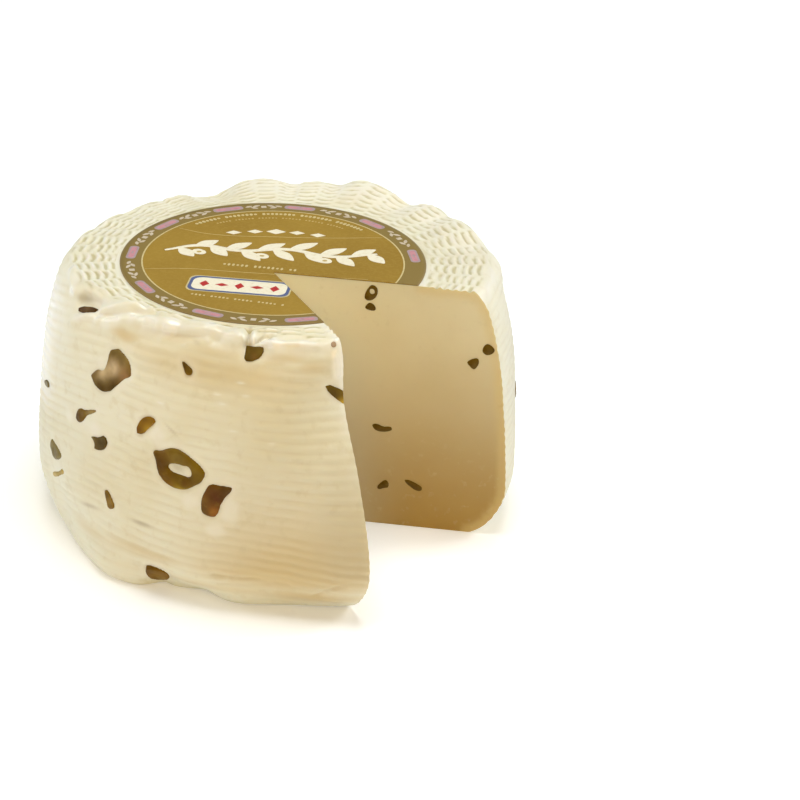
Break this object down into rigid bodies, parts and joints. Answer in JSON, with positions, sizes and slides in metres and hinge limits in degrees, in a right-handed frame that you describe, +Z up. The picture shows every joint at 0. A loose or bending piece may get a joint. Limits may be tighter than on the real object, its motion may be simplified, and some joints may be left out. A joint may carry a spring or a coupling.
{
  "type": "caciotta cheese",
  "caption": "Round soft white caciotta cheese with green olive pieces, one wedge cut out of it and a round paper label on top.",
  "frame": {"origin": "middle of the wheel's bounding box, at the foot it stands on", "axes": "+Z up through the wheel, -Y towards the side the picture shows, the cut-out wedge opens between +X and -Y"},
  "size_m": [0.1692, 0.1731, 0.0961],
  "materials": {
    "cheese": "moist ivory rind with fine ridges, satin cream paste",
    "olive": "moist brown-green olive flesh",
    "label_paper": "printed satin paper, dull gold with a pale ornament"
  },
  "bodies": {
    "root": {"cheese_wheel": "cheese", "label": "label_paper", "olive_hook": "olive", "olive_ring": "olive", "olive_tail": "olive", "olive_arc": "olive", "olive_crescent_upper": "olive", "olive_crescent_lower": "olive", "olive_sliver_upper": "olive", "olive_notch": "olive", "olive_edge": "olive", "olive_edge_speck": "olive", "olive_side_speck": "olive", "olive_side_upright": "olive", "olive_side_flat": "olive", "olive_sliver_lower": "olive", "olive_foot": "olive", "olive_shoulder": "olive", "olive_back_01": "olive", "olive_back_02": "olive", "olive_back_03": "olive", "olive_back_04": "olive", "olive_back_05": "olive", "olive_back_06": "olive", "olive_back_07": "olive", "olive_back_08": "olive", "olive_back_09": "olive", "olive_back_10": "olive", "olive_back_11": "olive", "olive_back_12": "olive", "olive_back_13": "olive", "olive_back_14": "olive", "olive_far_eye": "olive", "olive_far_drop": "olive", "olive_far_rind_lower": "olive", "olive_far_rind_upper": "olive", "olive_far_middle": "olive", "olive_far_low_left": "olive", "olive_far_low_right": "olive", "olive_near_top": "olive", "olive_near_upper": "olive", "olive_near_middle": "olive", "olive_near_speck": "olive", "olive_near_chain_upper": "olive", "olive_near_chain_lower": "olive", "olive_near_low": "olive"}
  },
  "joints": []
}
